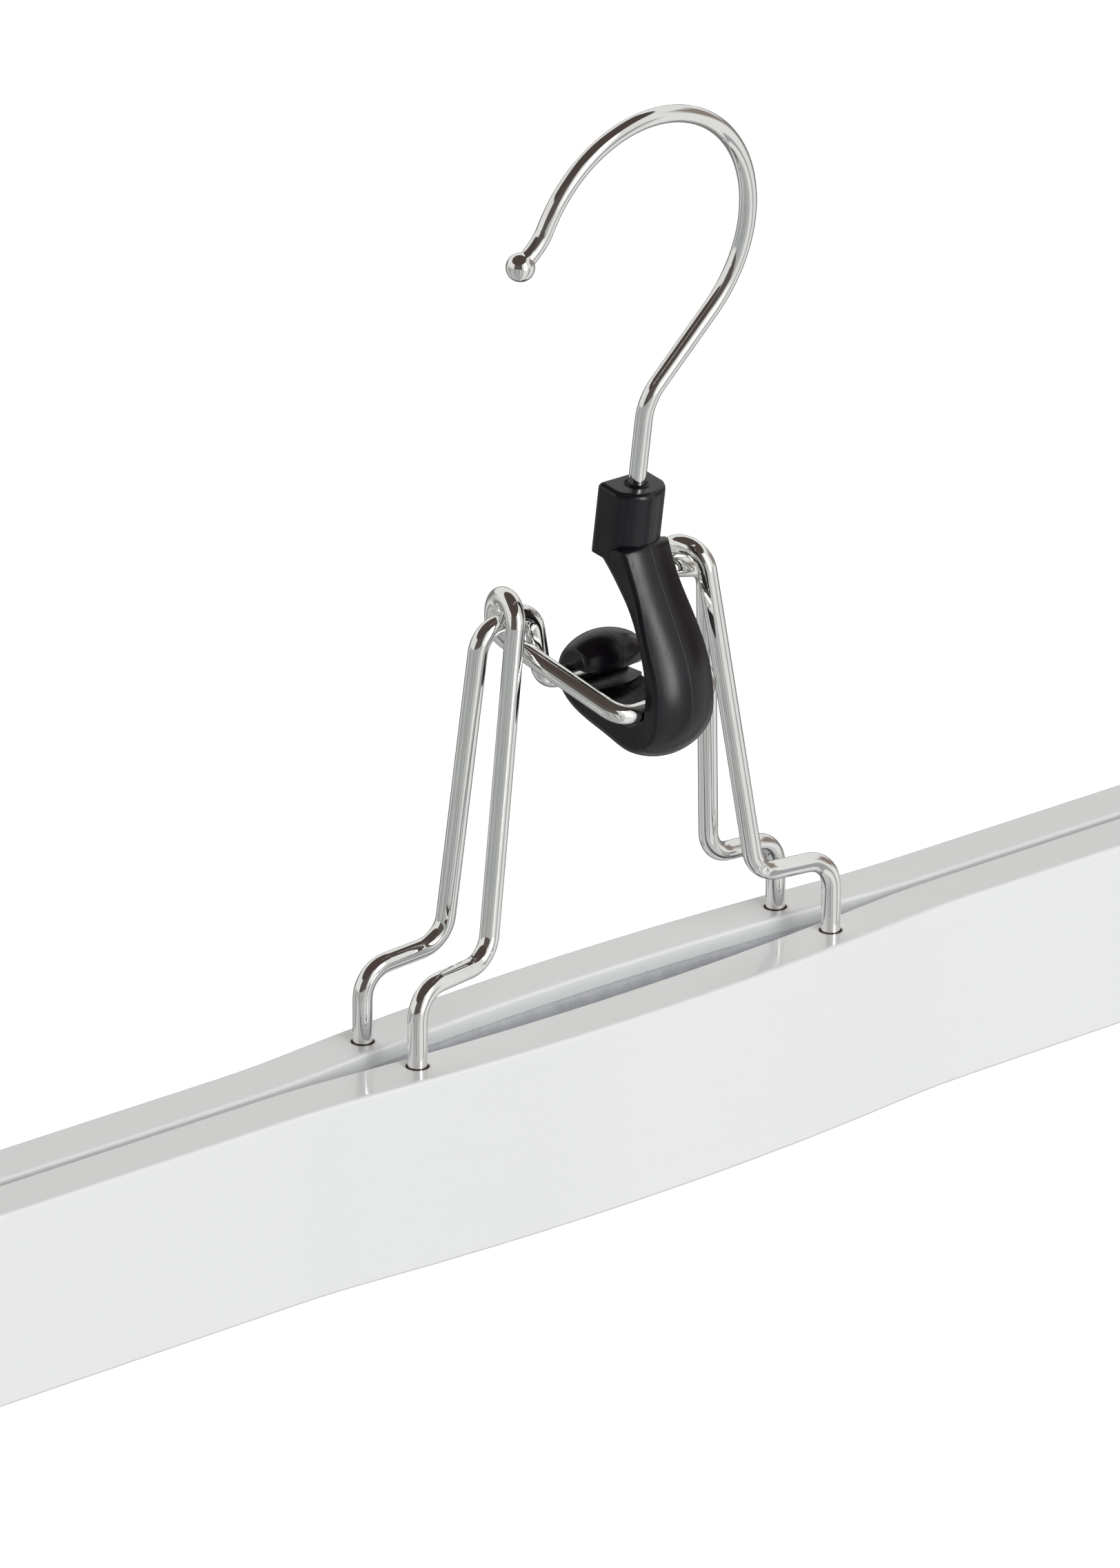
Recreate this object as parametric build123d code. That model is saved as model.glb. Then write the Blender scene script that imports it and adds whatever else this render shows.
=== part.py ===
"""Clamp hanger for trousers and skirts, in build123d.

Two bowed wooden bars grip the garment. Each bar stands on the two tangs of a bent wire frame.
The front frame has an eye at each shoulder, and the back frame runs through both eyes: that is
the hinge of the jaws. Below the hinge each frame has a crank bar. A moulded J-shaped cam lever
turns on the back crank bar and draws the front crank bar in, which shuts the jaws. A wire hook
swivels in the head of the lever.

Working frame, in millimetres: X runs along the bars, Y points to the back, Z points up.
Its zero is midway between the bars, level with their top edges. Every finished part is then
moved so that the origin is the point of the hook that rests on the rail.
"""
import os
from math import cos, radians, sin, sqrt, tan

from build123d import *

# ---- Driving dimensions, millimetres and degrees ----

# Bars: slats that bow away from each other between the wires
BAR_LENGTH = 360.0
BAR_HEIGHT = 37.6
BAR_THICKNESS = 11.0
BAR_HALF_GAP = 1.0            # from the middle plane to a bar's inner face, at the ends
BOW_RISE = 4.4                # how far the middle of a bar stands out
BOW_HALF_SPAN = 84.0          # the bow fades out this far from the middle
BOW_MAIN_SHARE = 0.79         # part of the half span that is the main arc, the rest curves back
BAR_END_RADIUS = 3.0
BAR_EDGE_RADIUS = 0.8

# Felt linings, glued to the inner faces
LINING_THICKNESS = 0.85
LINING_TOP_MARGIN = 3.2
LINING_LOW_MARGIN = 2.0
LINING_END_MARGIN = 5.0

# Frame wire and its holes in the bars
FRAME_WIRE = 3.75
TANG_HOLE = 4.4
TANG_DEPTH = 20.0
TANG_X = 51.4
TANG_Y = 7.8
FOOT_BEND = 6.0               # bend radius where a tang turns inward, and where the leg rises

# Hinge of the jaws
HINGE_Y = 1.9
HINGE_Z = 77.4
EYE_X = 21.8
EYE_RADIUS = 4.65             # centreline radius of the front frame's eyes
EYE_TURN = 14.0               # an eye's plane is turned this far about Z

# Crank bars, as distance in front of the middle plane and height
FRONT_CRANK = (18.0, 61.6)
FRONT_CRANK_HALF = 11.05
BACK_CRANK = (-1.6, 63.6)
BACK_CRANK_HALF = 13.0

# Cam lever
LEVER_TURN = 75.0             # folding the hook forward opens the jaws
JAW_TURN = 10.0
LEVER_EDGE = 1.4              # rounding of the J's side edges
LEVER_LEAN = 8.0              # the lever leans forward when the jaws are shut
LEVER_HALF_WIDTH = 7.25
WIDEST_Z = 71.5               # the J is at its full width from here down
LEVER_CROWN_RADIUS = 13.0     # the J's outer face is crowned from side to side
SHOULDER_RADIUS = 1.4         # rounding of the strap's top edge, in front of the head
SHOULDER_DEPTH = 5.0          # how far behind that edge the shoulder is cut square
HEAD_WIDTH = 11.9
HEAD_BACK = 4.5               # from the swivel axis to the head's flat back
HEAD_FRONT = 4.9              # from the swivel axis to the middle of its crowned front
HEAD_CROWN = 3.9              # the front's middle stands this far ahead of its corners
HEAD_TOP = (9.5, 102.3)       # where the swivel axis leaves the head
HEAD_HEIGHT = 14.0
HEAD_CORNER = 1.2
HEAD_TOP_EDGE = 1.1
LOBE_CORNER = 1.2
CAM_CLEARANCE = 0.3
PIVOT_CLEARANCE = 0.06
MOUTH_HEIGHT = 3.5            # a little under the wire: the pocket snaps over the crank bar

# Side view of the J, as distance in front of the middle plane and height: the outer outline runs
# down the strap, round the bottom bend and the curl to the lobe, and the inner one runs back up
LEVER_OUTER = [
    (13.3, 91.9), (16.1, 85.6), (19.0, 80.5), (22.0, 75.1), (23.9, 71.0), (25.3, 65.2),
    (25.2, 59.5), (22.6, 54.4), (16.0, 51.2), (9.0, 52.6), (0.0, 55.3), (-4.9, 58.9),
    (-6.3, 64.6), (-4.0, 69.4), (0.8, 71.2), (5.0, 69.6), (6.3, 65.4),
]
LEVER_INNER = [
    (5.4, 61.2), (11.0, 59.9), (15.8, 59.1), (18.0, 61.2), (18.2, 64.6), (17.9, 68.4),
    (17.0, 73.6), (14.6, 78.2), (11.2, 82.6), (7.5, 86.6), (4.0, 90.1),
]

# Hook
HOOK_WIRE = 3.3
HOOK_RADIUS = 25.7
HOOK_RISE = 49.5              # arc centre above the head's top
HOOK_NECK_RISE = 17.0         # where the slanting shank meets the upright stem
HOOK_NECK_BEND = 10.0
HOOK_SHANK_ANGLE = -42.0      # where the arc runs into the slanting shank
HOOK_TIP_ANGLE = 160.0        # where the arc ends
HOOK_TIP = (-34.7, 51.9)      # ball centre, from the head's top
HOOK_TIP_DIRECTION = (-0.74, -0.67)
BALL_DIAMETER = 5.4
STEM_CLEARANCE = 0.1
STEM_DEPTH = 12.0
STEM_HEAD = (5.4, 1.6)        # diameter and thickness of the upset head that keeps the hook in
STEM_HEAD_PLAY = 0.15

# ---- Worked-out values ----

FRONT = -1
BACK = 1
FRONT_CRANK_YZ = (-FRONT_CRANK[0], FRONT_CRANK[1])
BACK_CRANK_YZ = (-BACK_CRANK[0], BACK_CRANK[1])
# The shank rises at a tangent from the swivel axis to the arc, which sets the arc's centre.
SHANK_TOP_Z = HOOK_RISE + HOOK_RADIUS * sin(radians(HOOK_SHANK_ANGLE))
SHANK_TOP_X = (HOOK_NECK_RISE - SHANK_TOP_Z) * tan(radians(HOOK_SHANK_ANGLE))
HOOK_OFFSET = SHANK_TOP_X - HOOK_RADIUS * cos(radians(HOOK_SHANK_ANGLE))
# The head's own frame: its origin is where the swivel axis leaves the head, and Z runs up it.
HEAD_FRAME = Pos(0, -HEAD_TOP[0], HEAD_TOP[1]) * Rot(LEVER_LEAN, 0, 0)
RAIL_SEAT = (HEAD_FRAME * Pos(HOOK_OFFSET, 0, HOOK_RISE + HOOK_RADIUS - HOOK_WIRE / 2)).position
TO_ORIGIN = Pos(-RAIL_SEAT.X, -RAIL_SEAT.Y, -RAIL_SEAT.Z)


# ---- Bars and linings ----

def bow_radii():
    """Radii of the main arc and of the two arcs that curve back into the straight ends."""
    half_angle = 2 * BOW_RISE / BOW_HALF_SPAN
    total = BOW_HALF_SPAN * (1 + half_angle**2 / 4) / half_angle
    return total * BOW_MAIN_SHARE, total * (1 - BOW_MAIN_SHARE)


def bow(x):
    """How far a bar's face stands out from its straight ends, at x."""
    main, back = bow_radii()
    reach = abs(x)
    if reach <= BOW_HALF_SPAN * BOW_MAIN_SHARE:
        return BOW_RISE - main + sqrt(main**2 - reach**2)
    if reach < BOW_HALF_SPAN:
        return back - sqrt(back**2 - (BOW_HALF_SPAN - reach) ** 2)
    return 0.0


def bowed_edges(side, distance, half_length):
    """A bar's long edge seen from above: straight, curving out, the main arc, back, straight."""
    def point(x):
        return (x, side * (distance + bow(x)))

    outer = BOW_HALF_SPAN
    inner = BOW_HALF_SPAN * BOW_MAIN_SHARE
    middle = (outer + inner) / 2
    return [
        Line(point(-half_length), point(-outer)),
        ThreePointArc(point(-outer), point(-middle), point(-inner)),
        ThreePointArc(point(-inner), point(0), point(inner)),
        ThreePointArc(point(inner), point(middle), point(outer)),
        Line(point(outer), point(half_length)),
    ]


def bowed_slab(side, near, far, half_length, low, high):
    """A slab between two distances from the middle plane, following the bow."""
    near_edges = bowed_edges(side, near, half_length)
    far_edges = bowed_edges(side, far, half_length)
    left = Line(near_edges[0] @ 0, far_edges[0] @ 0)
    right = Line(near_edges[-1] @ 1, far_edges[-1] @ 1)
    face = make_face(near_edges + far_edges + [left, right])
    if face.face().normal_at().Z < 0:
        face = -face
    return extrude(Pos(0, 0, low) * face, amount=high - low, dir=(0, 0, 1))


def jaw_bar(side):
    half = BAR_LENGTH / 2
    bar = bowed_slab(side, BAR_HALF_GAP, BAR_HALF_GAP + BAR_THICKNESS, half, -BAR_HEIGHT, 0)
    corners = [e for e in bar.edges().filter_by(Axis.Z) if abs(e.center().X) > half - 1]
    bar = fillet(corners, BAR_END_RADIUS)
    rims = bar.faces().sort_by(Axis.Z)[0].edges() + bar.faces().sort_by(Axis.Z)[-1].edges()
    bar = fillet(rims, BAR_EDGE_RADIUS)
    hole = Cylinder(TANG_HOLE / 2, TANG_DEPTH, align=(Align.CENTER, Align.CENTER, Align.MAX))
    for x in (-TANG_X, TANG_X):
        bar -= Pos(x, side * TANG_Y, 0) * hole
    return bar


def lining(side):
    near = BAR_HALF_GAP - LINING_THICKNESS
    half = BAR_LENGTH / 2 - LINING_END_MARGIN
    low = -BAR_HEIGHT + LINING_LOW_MARGIN
    return bowed_slab(side, near, BAR_HALF_GAP, half, low, -LINING_TOP_MARGIN)


# ---- Wire frames ----

def bent_wire(corners, radii, diameter):
    """A round wire along straight runs, with a bend at each corner."""
    path = FilletPolyline(*corners, radius=radii)
    section = Plane(path @ 0, z_dir=path % 0) * Circle(diameter / 2)
    return sweep(section, path=path)


def mirrored_wire(half_corners, half_radii):
    """A frame wire that is the same left and right: its left half is given, tang end first."""
    other_half = [(-x, y, z) for x, y, z in reversed(half_corners)]
    return bent_wire(half_corners + other_half, half_radii + half_radii[::-1], FRAME_WIRE)


def front_wire_frame():
    """Tang, foot, leg, eye round the back frame's wire, then the crank to the front bar."""
    turn = radians(EYE_TURN)
    out = EYE_RADIUS * sin(turn)
    across = EYE_RADIUS * cos(turn)
    eye_top = HINGE_Z + EYE_RADIUS
    corners = [
        (-TANG_X, -TANG_Y, -TANG_DEPTH),
        (-TANG_X, -TANG_Y, 14.8),
        (-33.3, -6.4, 15.7),
        (-EYE_X - out, HINGE_Y - across, eye_top),
        (-EYE_X + out, HINGE_Y + across, eye_top),
        (-EYE_X + out, HINGE_Y + across, 74.0),
        (-FRONT_CRANK_HALF, *FRONT_CRANK_YZ),
    ]
    eye_bend = EYE_RADIUS - 0.05
    return mirrored_wire(corners, [FOOT_BEND, FOOT_BEND, eye_bend, eye_bend, eye_bend, 4.5])


def back_wire_frame():
    """Tang, foot, leg, then an arch through the front frame's eye and down to the back bar."""
    corners = [
        (-TANG_X, TANG_Y, -TANG_DEPTH),
        (-TANG_X, TANG_Y, 14.0),
        (-33.0, 6.5, 15.7),
        (-27.8, 2.2, 76.2),
        (-15.6, 1.8, 79.0),
        (-BACK_CRANK_HALF, *BACK_CRANK_YZ),
    ]
    return mirrored_wire(corners, [FOOT_BEND, FOOT_BEND, 5.0, 4.5, 4.0])


# ---- Cam lever ----

def front_crank_in_lever(jaw_angle):
    """The front crank bar's place beside the shut lever, once the jaws have opened this far."""
    turn = radians(jaw_angle)
    fore = -FRONT_CRANK_YZ[0] + HINGE_Y
    rise = FRONT_CRANK[1] - HINGE_Z
    opened_fore = fore * cos(turn) - rise * sin(turn) - HINGE_Y
    opened_z = rise * cos(turn) + fore * sin(turn) + HINGE_Z
    back = radians(jaw_angle * LEVER_TURN / JAW_TURN)
    along = opened_fore - BACK_CRANK[0]
    up = opened_z - BACK_CRANK[1]
    fore_in_lever = BACK_CRANK[0] + along * cos(back) - up * sin(back)
    z_in_lever = BACK_CRANK[1] + up * cos(back) + along * sin(back)
    return (-fore_in_lever, z_in_lever)


def across_lever(sketch, half_width):
    """Extrude a side-view sketch, drawn in (Y, Z), to both sides of the middle plane."""
    return extrude(Plane.YZ * sketch, amount=half_width, both=True)


def lever_curve(points):
    """A smooth line through points of the side view, in (Y, Z)."""
    return Spline(*[(-fore, z) for fore, z in points])


def side_outline():
    """Side view of the J: strap, bottom bend, curl and lobe."""
    outer_edge = lever_curve(LEVER_OUTER)
    inner_edge = lever_curve(LEVER_INNER)
    lobe_face = Line(outer_edge @ 1, inner_edge @ 0)
    neck = Line(inner_edge @ 1, outer_edge @ 0)
    side = make_face([outer_edge, lobe_face, inner_edge, neck])
    lobe_corners = side.vertices().filter_by_position(Axis.Y, 60.0, 67.0)
    return fillet(lobe_corners, LOBE_CORNER)


def crown_trim():
    """What lies outside the J's crowned outer face, as one section swept along the outer outline."""
    run_past = 4.0
    half = LEVER_HALF_WIDTH + 2
    drop = LEVER_CROWN_RADIUS - sqrt(LEVER_CROWN_RADIUS**2 - half**2)
    edge = lever_curve(LEVER_OUTER)
    lead_in = Line(edge @ 0 - edge % 0 * run_past, edge @ 0)
    lead_out = Line(edge @ 1, edge @ 1 + edge % 1 * run_past)
    path = Plane.YZ * (lead_in + edge + lead_out)
    crown = ThreePointArc((-half, -drop), (0, 0), (half, -drop))
    outside = Polyline((half, -drop), (half, run_past), (-half, run_past), (-half, -drop))
    start = Plane(path @ 0, x_dir=(1, 0, 0), z_dir=path % 0)
    return sweep(start * make_face([crown, outside]), path=path)


def shoulder_trim():
    """What lies above the strap's rounded top edge: a section turned about the crown's axis."""
    clear = 3.0
    edge = Plane.YZ * lever_curve(LEVER_OUTER)
    up = edge % 0 * -1
    outward = Vector(0, -up.Z, up.Y)
    section = Plane(edge @ 0, x_dir=outward, z_dir=(-1, 0, 0))
    radius = SHOULDER_RADIUS
    level = Line((-SHOULDER_DEPTH, 0), (-radius, 0))
    corner = CenterArc((-radius, -radius), radius, 90, -80)
    run_out = Line(corner @ 1, corner @ 1 + corner % 1 * clear)
    rest = Polyline(run_out @ 1, (clear, clear), (-SHOULDER_DEPTH, clear), (-SHOULDER_DEPTH, 0))
    axis = Axis(section.from_local_coords((-LEVER_CROWN_RADIUS, 0, 0)), up)
    return revolve(section * make_face([level, corner, run_out, rest]), axis)


def front_outline():
    """Front view of the J: it widens from the head to the bottom bend."""
    widest = (LEVER_HALF_WIDTH, WIDEST_Z)
    neck = (HEAD_WIDTH / 2, 93.0)
    right = Spline(neck, (5.9, 84.0), widest, tangents=[(0, -1), (0, -1)])
    left = mirror(right, Plane.YZ)
    low = Polyline(widest, (widest[0], 50.0), (-widest[0], 50.0), (-widest[0], widest[1]))
    top = Line(neck, (-neck[0], neck[1]))
    return make_face([right, low, left, top])


def head_outline():
    """The head seen from above, about the swivel axis: flat back and sides, crowned front."""
    half = HEAD_WIDTH / 2
    shoulder = HEAD_CROWN - HEAD_FRONT
    sides = Polyline((-half, shoulder), (-half, HEAD_BACK), (half, HEAD_BACK), (half, shoulder))
    front = ThreePointArc((half, shoulder), (0, -HEAD_FRONT), (-half, shoulder))
    outline = make_face([sides, front])
    return fillet(outline.vertices(), HEAD_CORNER)


def wire_hole(clearance):
    """A long cylinder across the lever that clears a crank bar."""
    return Rot(0, 90, 0) * Cylinder(FRAME_WIRE / 2 + clearance, 4 * LEVER_HALF_WIDTH)


def cam_track():
    """The room that the front crank bar needs inside the J while the lever folds forward."""
    stops = [front_crank_in_lever(JAW_TURN * part) for part in (0, 0.5, 1)]
    track = SlotArc(ThreePointArc(*stops), FRAME_WIRE + 2 * CAM_CLEARANCE)
    return across_lever(track, 2 * LEVER_HALF_WIDTH)


def pivot_pocket():
    """Snap pocket for the back crank bar, with its mouth under the lobe."""
    pivot = Pos(0, *BACK_CRANK_YZ)
    mouth = Box(4 * LEVER_HALF_WIDTH, 12, MOUTH_HEIGHT, align=(Align.CENTER, Align.MAX, Align.CENTER))
    return pivot * (wire_hole(PIVOT_CLEARANCE) + mouth)


def hook_bore():
    """Bore for the hook's stem, countersunk on top, with a wider chamber for its upset head."""
    radius = HOOK_WIRE / 2 + STEM_CLEARANCE
    chamber_radius = STEM_HEAD[0] / 2 + STEM_CLEARANCE
    down = (Align.CENTER, Align.CENTER, Align.MAX)
    bore = Cylinder(radius, STEM_DEPTH + 1, align=down)
    rim = Cone(radius, radius + 0.7, 0.7, align=down)
    chamber = Pos(0, 0, -STEM_DEPTH) * Cylinder(chamber_radius, HEAD_HEIGHT - STEM_DEPTH + 5, align=down)
    return HEAD_FRAME * (bore + rim + chamber)


def cam_lever():
    body = across_lever(side_outline(), LEVER_HALF_WIDTH)
    body &= extrude(Plane.XZ * front_outline(), amount=60, both=True)
    body -= crown_trim()
    side_edges = [e for e in body.edges() if abs(e.center().X) > HEAD_WIDTH / 3]
    below_head = [e for e in side_edges if e.center().Z < HEAD_TOP[1] - HEAD_HEIGHT + 2]
    rounded = [e for e in below_head if abs(e.center().Z - WIDEST_Z) > LEVER_EDGE / 2]
    body = fillet(rounded, LEVER_EDGE) - shoulder_trim()
    head = extrude(Pos(0, 0, -HEAD_HEIGHT) * head_outline(), amount=HEAD_HEIGHT)
    head = fillet(head.faces().sort_by(Axis.Z)[-1].edges(), HEAD_TOP_EDGE)
    body += HEAD_FRAME * head
    return body - cam_track() - pivot_pocket() - hook_bore()


# ---- Hook ----

def swivel_hook():
    """Upset head, stem, slanting shank, arc over the rail and the ball end."""
    start = radians(HOOK_SHANK_ANGLE)
    end = radians(HOOK_TIP_ANGLE)

    def on_arc(angle):
        return (HOOK_OFFSET + HOOK_RADIUS * cos(angle), HOOK_RISE + HOOK_RADIUS * sin(angle))

    foot = (0, -STEM_DEPTH - STEM_HEAD_PLAY)
    shank = FilletPolyline(foot, (0, HOOK_NECK_RISE), on_arc(start), radius=HOOK_NECK_BEND)
    crook = ThreePointArc(on_arc(start), on_arc((start + end) / 2), on_arc(end))
    tip = Spline(on_arc(end), HOOK_TIP, tangents=[crook % 1, HOOK_TIP_DIRECTION])
    path = Plane.XZ * (shank + crook + tip)
    hook = sweep(Plane(path @ 0, z_dir=path % 0) * Circle(HOOK_WIRE / 2), path=path)
    hook += Pos(HOOK_TIP[0], 0, HOOK_TIP[1]) * Sphere(BALL_DIAMETER / 2)
    upset = Cylinder(STEM_HEAD[0] / 2, STEM_HEAD[1], align=(Align.CENTER, Align.CENTER, Align.MAX))
    hook += Pos(0, 0, foot[1]) * upset
    return HEAD_FRAME * hook


# ---- Parts ----

NODES = {
    "front_bar": lambda: jaw_bar(FRONT),
    "back_bar": lambda: jaw_bar(BACK),
    "front_lining": lambda: lining(FRONT),
    "back_lining": lambda: lining(BACK),
    "front_wire_frame": front_wire_frame,
    "back_wire_frame": back_wire_frame,
    "cam_lever": cam_lever,
    "swivel_hook": swivel_hook,
}


def main():
    os.makedirs("parts", exist_ok=True)
    for name, make in NODES.items():
        export_step(TO_ORIGIN * make(), f"parts/{name}.step")
    seat = TO_ORIGIN.position
    print("The working frame's zero is at", [round(v, 3) for v in (seat.X, seat.Y, seat.Z)])


if __name__ == "__main__":
    main()
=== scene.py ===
import math
import random

import bmesh
import bpy
from mathutils import Matrix, Vector, noise


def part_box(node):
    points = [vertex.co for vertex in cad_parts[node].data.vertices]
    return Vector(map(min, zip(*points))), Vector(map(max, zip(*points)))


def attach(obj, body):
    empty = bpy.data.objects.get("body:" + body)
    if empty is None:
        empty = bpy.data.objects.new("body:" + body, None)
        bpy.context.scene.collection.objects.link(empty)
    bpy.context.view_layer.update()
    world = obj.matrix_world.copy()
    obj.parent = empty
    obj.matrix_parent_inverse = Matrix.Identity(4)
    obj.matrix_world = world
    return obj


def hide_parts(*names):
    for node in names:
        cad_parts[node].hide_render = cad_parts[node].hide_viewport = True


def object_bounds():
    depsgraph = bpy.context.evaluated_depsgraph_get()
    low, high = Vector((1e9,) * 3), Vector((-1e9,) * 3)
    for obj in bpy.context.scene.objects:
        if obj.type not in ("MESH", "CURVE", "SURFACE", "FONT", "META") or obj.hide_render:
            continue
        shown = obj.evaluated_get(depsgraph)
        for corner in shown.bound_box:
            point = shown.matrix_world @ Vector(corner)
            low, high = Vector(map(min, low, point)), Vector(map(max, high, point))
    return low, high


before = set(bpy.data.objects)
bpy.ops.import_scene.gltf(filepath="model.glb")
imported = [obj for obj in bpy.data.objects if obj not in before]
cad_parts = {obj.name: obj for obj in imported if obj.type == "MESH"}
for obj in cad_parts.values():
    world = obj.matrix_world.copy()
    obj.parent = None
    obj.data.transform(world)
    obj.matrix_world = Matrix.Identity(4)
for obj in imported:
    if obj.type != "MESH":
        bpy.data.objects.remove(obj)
cad_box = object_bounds()
MM = 0.001

# ---------------------------------------------------------------------------------------------
# Where things are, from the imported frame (metres)

FRONT_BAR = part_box("front_bar")
BACK_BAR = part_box("back_bar")
MID_X = (FRONT_BAR[0].x + FRONT_BAR[1].x) / 2
MID_Y = (FRONT_BAR[1].y + BACK_BAR[0].y) / 2
BAR_TOP = FRONT_BAR[1].z

TANG_X = 51.4 * MM              # from the middle to a wire's tang in its bar
TANG_Y = 7.8 * MM
TANG_HOLE = 2.2 * MM            # radius
HOLE_WALL = TANG_HOLE * 1.03    # the raw wood ends between these two
HOLE_RIM = TANG_HOLE * 1.12
RIM_FADE = TANG_HOLE * 1.35     # and its mark on the lacquer here
TANG_REACH = 25 * MM            # a little more than the holes' depth
NICK_X = 33.5 * MM              # where each foot turns up into its leg
NICK_Z = BAR_TOP + 16.5 * MM
NICK_RADIUS = 2.6 * MM

CAMERA_AZIMUTH = math.radians(41.22)
CAMERA_ELEVATION = math.radians(21.31)
CAMERA_ROLL = math.radians(0.26)
CAMERA_DISTANCE = 2.19475
CAMERA_TARGET = Vector((0.008646, 0.034982, -0.140118))
CAMERA_SENSOR = 36.0            # mm
CAMERA_LENS = 269.27            # mm

WHITE = (1.0, 1.0, 1.0, 1.0)


# ---------------------------------------------------------------------------------------------
# Node helpers


class Nodes:
    """A small builder for one node tree."""

    def __init__(self, tree):
        self.tree = tree
        tree.nodes.clear()

    def add(self, kind, **values):
        node = self.tree.nodes.new(kind)
        for name, value in values.items():
            setattr(node, name, value)
        return node

    def link(self, source, target):
        self.tree.links.new(source, target)

    def feed(self, socket, value):
        if isinstance(value, bpy.types.NodeSocket):
            self.link(value, socket)
        else:
            socket.default_value = value

    def math(self, operation, a, b=0.0):
        node = self.add("ShaderNodeMath", operation=operation)
        self.feed(node.inputs[0], a)
        self.feed(node.inputs[1], b)
        return node.outputs[0]

    def vector(self, operation, a, b=(0.0, 0.0, 0.0)):
        node = self.add("ShaderNodeVectorMath", operation=operation)
        self.feed(node.inputs[0], a)
        self.feed(node.inputs[1], b)
        scalar = operation in {"DOT_PRODUCT", "LENGTH", "DISTANCE"}
        return node.outputs["Value"] if scalar else node.outputs["Vector"]

    def split(self, vector):
        node = self.add("ShaderNodeSeparateXYZ")
        self.link(vector, node.inputs[0])
        return node.outputs

    def join(self, x, y, z):
        node = self.add("ShaderNodeCombineXYZ")
        for socket, value in zip(node.inputs, (x, y, z)):
            self.feed(socket, value)
        return node.outputs[0]

    def ramp(self, value, low, high, to_low=0.0, to_high=1.0):
        """Smoothly from to_low, where value is low, to to_high."""
        node = self.add("ShaderNodeMapRange", interpolation_type="SMOOTHSTEP")
        for socket, number in zip(node.inputs, (value, low, high, to_low, to_high)):
            self.feed(socket, number)
        return node.outputs[0]

    def mix(self, factor, a, b):
        node = self.add("ShaderNodeMix", data_type="RGBA")
        self.feed(node.inputs["Factor"], factor)
        colours = [s for s in node.inputs if s.type == "RGBA"]
        self.feed(colours[0], a)
        self.feed(colours[1], b)
        return [s for s in node.outputs if s.type == "RGBA"][0]

    def noise(self, vector, scale, detail=3.0, roughness=0.5):
        node = self.add("ShaderNodeTexNoise")
        self.link(vector, node.inputs["Vector"])
        node.inputs["Scale"].default_value = scale
        node.inputs["Detail"].default_value = detail
        node.inputs["Roughness"].default_value = roughness
        return node.outputs["Fac"]

    def cells(self, vector, scale):
        node = self.add("ShaderNodeTexVoronoi", feature="F1")
        self.link(vector, node.inputs["Vector"])
        node.inputs["Scale"].default_value = scale
        return node.outputs["Distance"]

    def stretched_noise(self, vector, scales, detail, roughness=0.5):
        """Noise with its own scale, per metre, along each axis."""
        return self.noise(self.vector("MULTIPLY", vector, scales), 1.0, detail, roughness)

    def bump(self, height, distance):
        """height runs from 0 to 1, and distance is in metres."""
        node = self.add("ShaderNodeBump")
        node.inputs["Strength"].default_value = 1.0
        node.inputs["Distance"].default_value = distance
        self.link(height, node.inputs["Height"])
        return node.outputs[0]


def new_material(name):
    material = bpy.data.materials.new(name)
    material.use_nodes = True
    n = Nodes(material.node_tree)
    shader = n.add("ShaderNodeBsdfPrincipled")
    out = n.add("ShaderNodeOutputMaterial")
    n.link(shader.outputs[0], out.inputs["Surface"])
    place = n.add("ShaderNodeTexCoord").outputs["Object"]
    return material, n, shader, place


def from_middle(n, x):
    """Distance to the left or right of the object's middle."""
    return n.math("ABSOLUTE", n.math("SUBTRACT", x, MID_X))


def spots(n, place, centre, radius):
    """1 round centre and round its mirror image, fading to 0 at radius."""
    x, y, z = n.split(place)
    gap = n.vector("DISTANCE", n.join(from_middle(n, x), y, z), centre)
    return n.ramp(gap, radius * 0.55, radius, 1.0, 0.0)


# ---------------------------------------------------------------------------------------------
# Materials: linear colours, and relief in metres

LACQUER = (0.842, 0.860, 0.852, 1)
LACQUER_LIGHT = (0.846, 0.862, 0.854, 1)
LACQUER_GRAIN = (0.80, 0.815, 0.80, 1)
RIM_WOOD = (0.42, 0.36, 0.30, 1)
HOLE_WOOD = (0.22, 0.16, 0.12, 1)
LACQUER_RELIEF = 0.004 * MM

CHROME = (0.90, 0.905, 0.90, 1)
CHROME_CLEAR = (0.955, 0.955, 0.945, 1)
CHROME_PIT = (0.35, 0.33, 0.31, 1)
CHROME_RELIEF = 0.09 * MM

PLASTIC = (0.0045, 0.0038, 0.0066, 1)
PLASTIC_PALE = (0.0072, 0.0056, 0.0078, 1)
# The lighter colour of the parting line is a painted highlight along its ridge.
SEAM_PAINTED_HIGHLIGHT = (0.045, 0.040, 0.040, 1)
DUST = (0.42, 0.40, 0.37, 1)
SEAM_HALF_WIDTH = 0.04 * MM
SEAM_FADE = 0.16 * MM
PLASTIC_RELIEF = 0.05 * MM

FELT = (0.60, 0.61, 0.65, 1)
FELT_PALE = (0.70, 0.71, 0.745, 1)
FELT_FIBRE = (0.82, 0.83, 0.85, 1)
FELT_SHADOW = (0.42, 0.43, 0.47, 1)
FELT_RELIEF = 0.10 * MM


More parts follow.
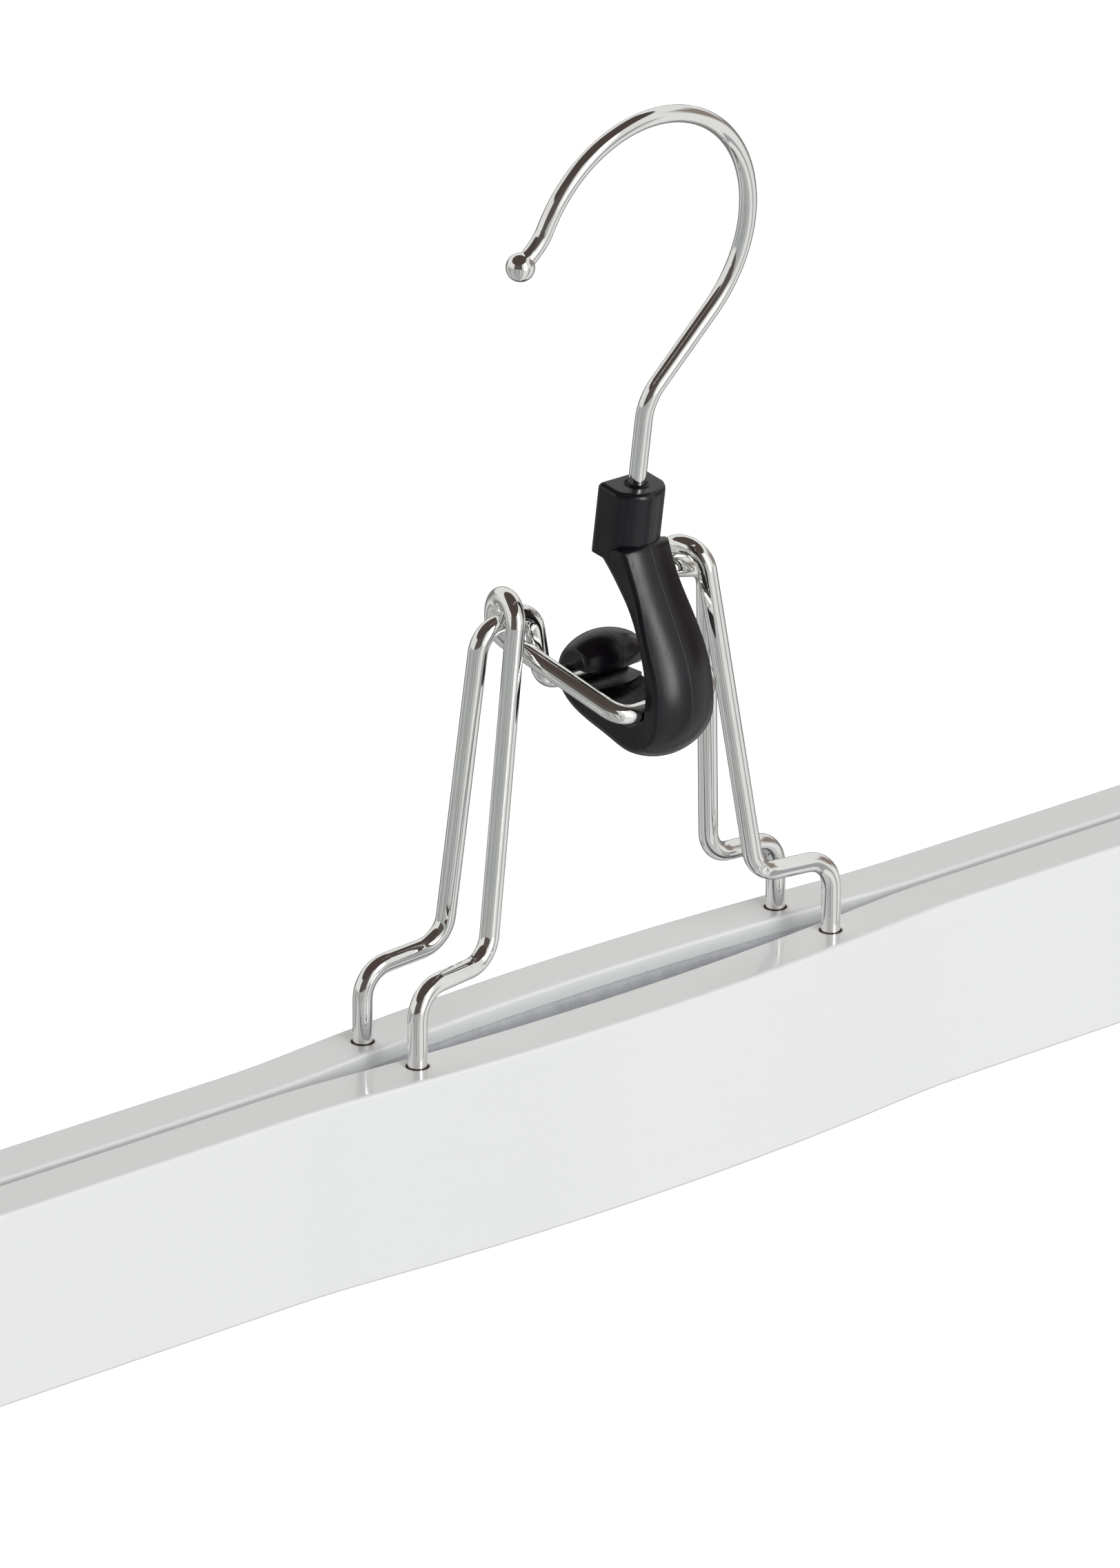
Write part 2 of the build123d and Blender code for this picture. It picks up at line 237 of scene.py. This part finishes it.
def lacquered_wood():
    """White lacquer over close-grained wood, slightly uneven, raw and brown inside the holes."""
    material, n, shader, place = new_material("lacquered_wood")
    x, y, z = n.split(place)
    grain = n.stretched_noise(place, (14.0, 700.0, 700.0), 3.0)
    drift = n.stretched_noise(place, (9.0, 30.0, 30.0), 1.0)
    peel = n.noise(place, 1400.0, 2.0)
    paint = n.mix(n.ramp(drift, 0.2, 0.8), LACQUER, LACQUER_LIGHT)
    paint = n.mix(n.ramp(grain, 0.5, 0.8, 0.0, 0.12), paint, LACQUER_GRAIN)
    aside = n.math("SUBTRACT", from_middle(n, x), TANG_X)
    deep = n.math("SUBTRACT", n.math("ABSOLUTE", n.math("SUBTRACT", y, MID_Y)), TANG_Y)
    from_axis = n.vector("LENGTH", n.join(aside, deep, 0.0))
    in_hole = n.ramp(from_axis, HOLE_WALL, HOLE_RIM, 1.0, 0.0)
    rim = n.ramp(from_axis, HOLE_RIM, RIM_FADE, 0.16, 0.0)
    high = n.ramp(z, BAR_TOP - TANG_REACH, BAR_TOP - TANG_REACH + 1 * MM)
    paint = n.mix(n.math("MULTIPLY", rim, high), paint, RIM_WOOD)
    paint = n.mix(n.math("MULTIPLY", in_hole, high), paint, HOLE_WOOD)
    n.link(paint, shader.inputs["Base Color"])
    n.link(n.ramp(grain, 0.2, 0.8, 0.29, 0.32), shader.inputs["Roughness"])
    shader.inputs["Coat Weight"].default_value = 0.9
    shader.inputs["Coat Roughness"].default_value = 0.06
    shader.inputs["Coat IOR"].default_value = 1.5
    height = n.math("ADD", n.math("MULTIPLY", grain, 0.8), n.math("MULTIPLY", peel, 0.2))
    n.link(n.bump(height, LACQUER_RELIEF), shader.inputs["Normal"])
    return material


def chrome(name, nick=None):
    """Bright plated wire with haze and a few pits, and a tool's nick where each foot was bent."""
    material, n, shader, place = new_material(name)
    haze = n.noise(place, 90.0, 3.0)
    fine = n.noise(place, 420.0, 2.0)
    tint = n.mix(n.ramp(haze, 0.35, 0.7), CHROME, CHROME_CLEAR)
    pits = n.ramp(n.cells(place, 520.0), 0.05, 0.11, 1.0, 0.0)
    pits = n.math("MULTIPLY", pits, n.ramp(n.noise(place, 60.0, 1.0), 0.62, 0.70))
    height = n.math("MULTIPLY", fine, 0.10)
    height = n.math("SUBTRACT", height, n.math("MULTIPLY", pits, 0.15))
    rough = n.ramp(haze, 0.3, 0.75, 0.025, 0.07)
    if nick is not None:
        scuffed = spots(n, place, nick, NICK_RADIUS)
        chips = n.ramp(n.cells(place, 620.0), 0.10, 0.50)
        height = n.math("ADD", height, n.math("MULTIPLY", chips, scuffed))
        rough = n.math("ADD", rough, n.math("MULTIPLY", scuffed, 0.10))
    tint = n.mix(n.math("MULTIPLY", pits, 0.5), tint, CHROME_PIT)
    n.link(tint, shader.inputs["Base Color"])
    shader.inputs["Metallic"].default_value = 1.0
    n.link(rough, shader.inputs["Roughness"])
    n.link(n.bump(height, CHROME_RELIEF), shader.inputs["Normal"])
    return material


def lever_plastic():
    """Black injection-moulded plastic, satin, with its parting line and a little dust. The parting
    line is a raised ridge with a painted highlight along it.
    """
    material, n, shader, place = new_material("lever_plastic")
    cloud = n.noise(place, 140.0, 3.0)
    skin = n.noise(place, 1500.0, 3.0, 0.6)
    scratch = n.stretched_noise(place, (900.0, 900.0, 60.0), 2.0)
    base = n.mix(n.ramp(cloud, 0.3, 0.7), PLASTIC, PLASTIC_PALE)
    off_line = from_middle(n, n.split(place)[0])
    seam_and_highlight = n.ramp(off_line, SEAM_HALF_WIDTH, SEAM_FADE, 1.0, 0.0)
    # Painted highlight: the parting line is mixed lighter here, and its ridge is the bump further
    # down.
    base = n.mix(n.math("MULTIPLY", seam_and_highlight, 0.7), base, SEAM_PAINTED_HIGHLIGHT)
    dust = n.ramp(n.cells(place, 330.0), 0.035, 0.075, 1.0, 0.0)
    dust = n.math("MULTIPLY", dust, n.ramp(n.noise(place, 230.0, 0.0), 0.60, 0.66))
    base = n.mix(n.math("MULTIPLY", dust, 0.55), base, DUST)
    n.link(base, shader.inputs["Base Color"])
    rough = n.ramp(cloud, 0.25, 0.8, 0.22, 0.28)
    rough = n.math("ADD", rough, n.ramp(scratch, 0.62, 0.75, 0.0, 0.10))
    n.link(rough, shader.inputs["Roughness"])
    shader.inputs["Specular IOR Level"].default_value = 0.42
    height = n.math("ADD", n.math("MULTIPLY", skin, 0.16), n.math("MULTIPLY", cloud, 0.06))
    height = n.math("ADD", height, seam_and_highlight)
    height = n.math("ADD", height, n.math("MULTIPLY", dust, 0.5))
    n.link(n.bump(height, PLASTIC_RELIEF), shader.inputs["Normal"])
    return material


def felt():
    """Thin grey-blue felt: matted fibres, mottled, with a soft sheen."""
    material, n, shader, place = new_material("felt")
    mottle = n.noise(place, 260.0, 4.0, 0.6)
    fibres = n.stretched_noise(place, (900.0, 2600.0, 2600.0), 4.0, 0.65)
    crossed = n.stretched_noise(place, (2600.0, 2600.0, 900.0), 4.0, 0.65)
    base = n.mix(n.ramp(mottle, 0.3, 0.7), FELT, FELT_PALE)
    base = n.mix(n.ramp(fibres, 0.52, 0.72, 0.0, 0.6), base, FELT_FIBRE)
    base = n.mix(n.ramp(crossed, 0.56, 0.74, 0.0, 0.5), base, FELT_SHADOW)
    n.link(base, shader.inputs["Base Color"])
    n.link(n.ramp(fibres, 0.2, 0.8, 0.82, 0.98), shader.inputs["Roughness"])
    shader.inputs["Specular IOR Level"].default_value = 0.2
    shader.inputs["Sheen Weight"].default_value = 0.45
    shader.inputs["Sheen Roughness"].default_value = 0.5
    height = n.math("ADD", fibres, crossed)
    n.link(n.bump(height, FELT_RELIEF), shader.inputs["Normal"])
    return material


# ---------------------------------------------------------------------------------------------
# The CAD nodes keep their shapes and take the new materials


def finish_node(name, material):
    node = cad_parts[name]
    if not node.material_slots:
        node.data.materials.append(material)
    for holder in node.material_slots:
        holder.material = material


wood = lacquered_wood()
plastic = lever_plastic()
cloth = felt()
for name in ("front_bar", "back_bar"):
    finish_node(name, wood)
finish_node("cam_lever", plastic)

for name, side in (("front", -1), ("back", 1)):
    foot_nick = Vector((NICK_X, MID_Y + side * TANG_Y, NICK_Z))
    finish_node(name + "_wire_frame", chrome("chrome_" + name, foot_nick))
finish_node("swivel_hook", chrome("chrome_hook"))


# ---------------------------------------------------------------------------------------------
# Felt linings, rebuilt as soft sheets that follow the bars' bowed inner faces

BOW_RISE = 4.4 * MM
BOW_HALF_SPAN = 84.0 * MM
BOW_MAIN = 0.79 * BOW_HALF_SPAN
BOW_RADIUS = 635.0 * MM
BOW_BACK_RADIUS = 169.0 * MM
LINING_NEAR = 0.17 * MM         # from the middle plane to the felt's face
LINING_FAR = 0.98 * MM
LINING_HALF_LENGTH = 175.0 * MM
LINING_TOP = BAR_TOP - 3.2 * MM
LINING_LOW = BAR_TOP - 35.6 * MM
LINING_MIDDLE = (LINING_NEAR + LINING_FAR) / 2
LINING_HALF = (LINING_FAR - LINING_NEAR) / 2
FELT_STEP = 1.0 * MM            # size of a mesh square
RIM_SHARES = (0.55, 0.9)        # thickness left at the rim, and one step in from it
FELT_UNEVEN = 0.05 * MM
TOP_RAGGED = 0.12 * MM
TOP_TRIM = 0.05 * MM
RAG_SCALE = 900                 # per metre
FIBRES = 2600
FIBRE_ROOT = 0.1 * MM           # below the felt's upper edge
FIBRE_SPREAD = 0.3              # mm either side of the felt's middle
FIBRE_ALONG = 0.45              # mm a fibre leans, at most, along the bar
FIBRE_ACROSS = 0.12
FIBRE_HEIGHTS = (0.2, 0.55)     # mm
FIBRE_GIRTHS = (0.015, 0.03)
THIRDS = (0.0, 2.094, 4.189)    # a fibre's three corners, as angles


def bow(x):
    """How far the bar's inner face stands out from the middle plane at x, past its end gap."""
    x = abs(x)
    if x < BOW_MAIN:
        return BOW_RISE - x * x / (2 * BOW_RADIUS)
    if x < BOW_HALF_SPAN:
        return (BOW_HALF_SPAN - x) ** 2 / (2 * BOW_BACK_RADIUS)
    return 0.0


def rag(x, z, seed):
    """A small uneven amount, the same each run."""
    return noise.noise(Vector((x * RAG_SCALE, z * RAG_SCALE, seed)))


def lining_place(x, depth, side, z):
    """A point in the felt: x from the middle, depth from the middle plane past the bow."""
    return Vector((MID_X + x, MID_Y + side * (bow(x) + depth), z))


def felt_piece(name, build, body):
    """Turns a finished bmesh into a felt object that rides on body."""
    mesh = bpy.data.meshes.new(name)
    bmesh.ops.recalc_face_normals(build, faces=build.faces)
    build.to_mesh(mesh)
    build.free()
    mesh.materials.append(cloth)
    piece = bpy.data.objects.new(name, mesh)
    bpy.context.scene.collection.objects.link(piece)
    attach(piece, body)
    return piece


def make_lining(name, side, body, seed):
    """One strip of felt: a closed thin slab with a soft, slightly ragged rim."""
    columns = round(2 * LINING_HALF_LENGTH / FELT_STEP)
    rows = round((LINING_TOP - LINING_LOW) / FELT_STEP)
    build = bmesh.new()
    layers = []
    for layer, sign in enumerate((-1, 1)):
        grid = []
        for j in range(rows + 1):
            line = []
            for i in range(columns + 1):
                x = -LINING_HALF_LENGTH + 2 * LINING_HALF_LENGTH * i / columns
                z = LINING_LOW + (LINING_TOP - LINING_LOW) * j / rows
                rim = min(i, columns - i, j, rows - j)
                share = RIM_SHARES[rim] if rim < len(RIM_SHARES) else 1.0
                lift = share * LINING_HALF * sign
                if rim > 0:
                    lift += FELT_UNEVEN * rag(x, z, seed + layer)
                if j == rows:
                    z += TOP_RAGGED * rag(x * 1.7, 0.0, seed + 7) - TOP_TRIM
                line.append(build.verts.new(lining_place(x, LINING_MIDDLE + lift, side, z)))
            grid.append(line)
        layers.append(grid)
    for grid in layers:
        for j in range(rows):
            for i in range(columns):
                build.faces.new((grid[j][i], grid[j][i + 1], grid[j + 1][i + 1], grid[j + 1][i]))
    near, far = layers
    for j in range(rows):
        for i in (0, columns):
            build.faces.new((near[j][i], near[j + 1][i], far[j + 1][i], far[j][i]))
    for i in range(columns):
        for j in (0, rows):
            build.faces.new((near[j][i], near[j][i + 1], far[j][i + 1], far[j][i]))
    lining = felt_piece(name, build, body)
    for polygon in lining.data.polygons:
        polygon.use_smooth = True
    return lining


def make_fuzz(name, side, body, seed):
    """Loose fibres that stand up from the felt's upper edge, where it shows in the gap."""
    pick = random.Random(seed)
    build = bmesh.new()
    for _ in range(FIBRES):
        x = pick.uniform(-LINING_HALF_LENGTH, LINING_HALF_LENGTH)
        depth = LINING_MIDDLE + pick.uniform(-FIBRE_SPREAD, FIBRE_SPREAD) * MM
        root = lining_place(x, depth, side, LINING_TOP - FIBRE_ROOT)
        lean = Vector((
            pick.uniform(-FIBRE_ALONG, FIBRE_ALONG),
            pick.uniform(-FIBRE_ACROSS, FIBRE_ACROSS),
            pick.uniform(*FIBRE_HEIGHTS),
        ))
        girth = pick.uniform(*FIBRE_GIRTHS) * MM
        ring = [
            build.verts.new(root + Vector((math.cos(t) * girth, math.sin(t) * girth, 0.0)))
            for t in THIRDS
        ]
        tip = build.verts.new(root + lean * MM)
        build.faces.new(ring)
        for k in range(3):
            build.faces.new((ring[k], ring[(k + 1) % 3], tip))
    return felt_piece(name, build, body)


for name, side, body, bar, seed in (
    ("front", -1, "front_jaw", "front_bar", 11),
    ("back", 1, "back_jaw", "back_bar", 23),
):
    lining = make_lining(name + "_felt", side, body, seed)
    fuzz = make_fuzz(name + "_felt_fibres", side, body, seed)
    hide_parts(name + "_lining")


# ---------------------------------------------------------------------------------------------
# Camera

scene = bpy.context.scene
forward = Vector((
    math.sin(CAMERA_AZIMUTH) * math.cos(CAMERA_ELEVATION),
    math.cos(CAMERA_AZIMUTH) * math.cos(CAMERA_ELEVATION),
    -math.sin(CAMERA_ELEVATION),
))
level = Vector((math.cos(CAMERA_AZIMUTH), -math.sin(CAMERA_AZIMUTH), 0.0))
upward = level.cross(forward)
right = level * math.cos(CAMERA_ROLL) + upward * math.sin(CAMERA_ROLL)
upward = right.cross(forward)

camera_data = bpy.data.cameras.new("camera")
camera = bpy.data.objects.new("camera", camera_data)
scene.collection.objects.link(camera)
camera_data.sensor_width = CAMERA_SENSOR
camera_data.lens = CAMERA_LENS
camera_data.clip_start = 0.05
camera_data.clip_end = 60.0
facing = Matrix((right, upward, -forward)).transposed().to_4x4()
camera.matrix_world = Matrix.Translation(CAMERA_TARGET - forward * CAMERA_DISTANCE) @ facing
scene.camera = camera


# ---------------------------------------------------------------------------------------------
# Studio: pale walls, a dark opening overhead to the left, and a greyer side towards the front

FILL_LIGHT = 0.30                # share of the studio's light that reaches matt surfaces
OVERHEAD = Vector((-0.2, 0.0, 0.98))
OVERHEAD_EDGE = (0.655, 0.685)   # cosine of the angle from its middle
OVERHEAD_DARK = (0.075, 0.058, 0.052, 1)
BEHIND_TURNS = (112, 138)        # degrees either way round from the camera's side
BEHIND_HEIGHTS = (0.05, 0.15)
STREAK_TURN = 0.16               # streaks in the grey side, per degree
STREAK_HEIGHT = 0.8
WALL = (0.76, 0.755, 0.735, 1)
WALL_BEHIND = (0.20, 0.20, 0.20, 1)
LAMP_SPREAD = math.radians(70)

world = bpy.data.worlds.new("studio")
world.use_nodes = True
scene.world = world
w = Nodes(world.node_tree)
out = w.add("ShaderNodeOutputWorld")
sky = w.add("ShaderNodeBackground")
look = w.add("ShaderNodeTexCoord").outputs["Generated"]
toward = w.vector("DOT_PRODUCT", look, (-math.sin(CAMERA_AZIMUTH), -math.cos(CAMERA_AZIMUTH), 0.0))
aside = w.vector("DOT_PRODUCT", look, tuple(level))
turn = w.math("MULTIPLY", w.math("ARCTAN2", aside, toward), 180 / math.pi)
height = w.split(look)[2]

overhead = w.vector("DOT_PRODUCT", look, tuple(OVERHEAD.normalized()))
overhead = w.ramp(overhead, *OVERHEAD_EDGE)
along = w.join(
    w.math("MULTIPLY", turn, STREAK_TURN),
    w.math("MULTIPLY", height, STREAK_HEIGHT),
    0.0,
)
streaks = w.ramp(w.noise(along, 1.0, 3.0), 0.38, 0.62)
streaked_grey = w.mix(streaks, (0.24, 0.25, 0.245, 1), (0.56, 0.57, 0.56, 1))
far_side = w.ramp(w.math("ABSOLUTE", turn), *BEHIND_TURNS)
behind = w.math("MULTIPLY", far_side, w.ramp(height, *BEHIND_HEIGHTS, 1.0, 0.0))


def patch(turn_from, turn_to, soft, height_from, height_to, fade):
    """1 between two directions round the object and between two heights, with soft borders."""
    left = w.ramp(turn, turn_from - soft, turn_from + soft)
    far = w.ramp(turn, turn_to - soft, turn_to + soft, 1.0, 0.0)
    under = w.ramp(height, height_from - fade, height_from + fade)
    over = w.ramp(height, height_to - fade, height_to + fade, 1.0, 0.0)
    return w.math("MULTIPLY", w.math("MULTIPLY", left, far), w.math("MULTIPLY", under, over))


# Directions in degrees round the object with their softness, heights from -1, straight down, to 1
# with theirs, and the colour there. A later patch covers an earlier one.
PATCHES = (
    (-112, 26, 3, -1.2, 0.02, 0.03, streaked_grey),             # low front, left
    (66, 80, 3, -1.2, 0.0, 0.05, (0.34, 0.35, 0.36, 1)),        # a grey stand, low right
    (94, 138, 8, 0.0, 0.5, 0.1, (0.26, 0.215, 0.19, 1)),        # brown far right
    (-50, 15, 3, 0.01, 0.8, 0.03, (0.10, 0.085, 0.078, 1)),     # dark front
    (37, 53, 5, -0.1, 0.62, 0.1, (7.5, 7.5, 7.5, 1)),           # tall soft box
)
colour = w.mix(behind, WALL, WALL_BEHIND)
for *where, shade in PATCHES:
    colour = w.mix(patch(*where), colour, shade)
colour = w.mix(overhead, colour, OVERHEAD_DARK)
w.link(colour, sky.inputs["Color"])
paths = w.add("ShaderNodeLightPath").outputs
w.link(w.ramp(paths["Is Diffuse Ray"], 0.0, 1.0, 1.0, FILL_LIGHT), sky.inputs["Strength"])
plain = w.add("ShaderNodeBackground")
plain.inputs["Color"].default_value = WHITE
blend = w.add("ShaderNodeMixShader")
w.link(paths["Is Camera Ray"], blend.inputs[0])
w.link(sky.outputs[0], blend.inputs[1])
w.link(plain.outputs[0], blend.inputs[2])
w.link(blend.outputs[0], out.inputs["Surface"])


def broad_lamp(name, energy, elevation, turned):
    """A very broad lamp that lights matt surfaces and shows in no reflection; turned is about Z."""
    data = bpy.data.lights.new(name, "SUN")
    data.energy = energy
    data.angle = LAMP_SPREAD
    lamp = bpy.data.objects.new(name, data)
    lamp.rotation_euler = (math.radians(90 - elevation), 0.0, math.radians(turned))
    scene.collection.objects.link(lamp)
    lamp.visible_glossy = False


broad_lamp("front_lamp", 2.4, 18, -14)
broad_lamp("back_lamp", 1.7, 12, 166)


# ---------------------------------------------------------------------------------------------
# The pale floor, well below the hanging object

FLOOR_DROP = 0.45
FLOOR_HALF = 9.0


def pale_floor():
    """Almost white, and lit a little from within so that it shows as plain paper."""
    material, n, shader, place = new_material("pale_floor")
    pale = n.mix(n.noise(place, 3.0), (0.90, 0.90, 0.90, 1), (0.92, 0.92, 0.92, 1))
    n.link(pale, shader.inputs["Base Color"])
    shader.inputs["Roughness"].default_value = 0.9
    shader.inputs["Emission Color"].default_value = WHITE
    shader.inputs["Emission Strength"].default_value = 0.6
    return material


floor_z = cad_box[0].z - FLOOR_DROP
signs = ((-1, -1), (1, -1), (1, 1), (-1, 1))
corners = [(x * FLOOR_HALF, y * FLOOR_HALF, floor_z) for x, y in signs]
floor_mesh = bpy.data.meshes.new("floor")
floor_mesh.from_pydata(corners, [], [(0, 1, 2, 3)])
floor_mesh.materials.append(pale_floor())
floor = bpy.data.objects.new("floor", floor_mesh)
scene.collection.objects.link(floor)
floor.visible_glossy = False
floor.visible_diffuse = False

scene.view_settings.view_transform = "Standard"
